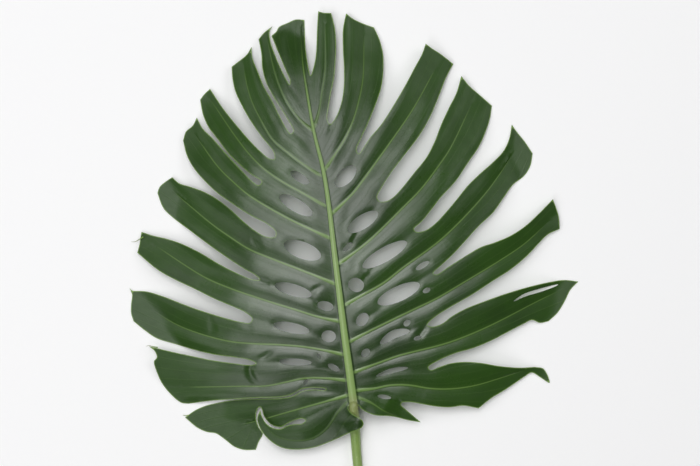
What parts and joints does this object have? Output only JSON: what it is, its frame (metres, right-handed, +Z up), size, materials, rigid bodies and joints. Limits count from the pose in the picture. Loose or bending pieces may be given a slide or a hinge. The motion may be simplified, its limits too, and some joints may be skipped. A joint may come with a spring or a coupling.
{
  "type": "monstera leaf",
  "caption": "Cut monstera leaf lying face up: a broad heart-shaped green blade with deep slits and oval holes beside its raised midrib, on a smooth round stalk.",
  "frame": {"origin": "centre of the leaf's bounding box, on the surface that it lies on", "axes": "+Y from the stalk's cut end towards the apex of the blade, +X to the right as the upper face is seen, +Z up out of the upper face"},
  "size_m": [0.451, 0.6954, 0.0376],
  "materials": {
    "blade": "dark green leathery leaf with a soft satin sheen",
    "petiole": "smooth pale green stalk, satin"
  },
  "bodies": {
    "root": {"blade": "blade", "petiole": "petiole"}
  },
  "joints": []
}
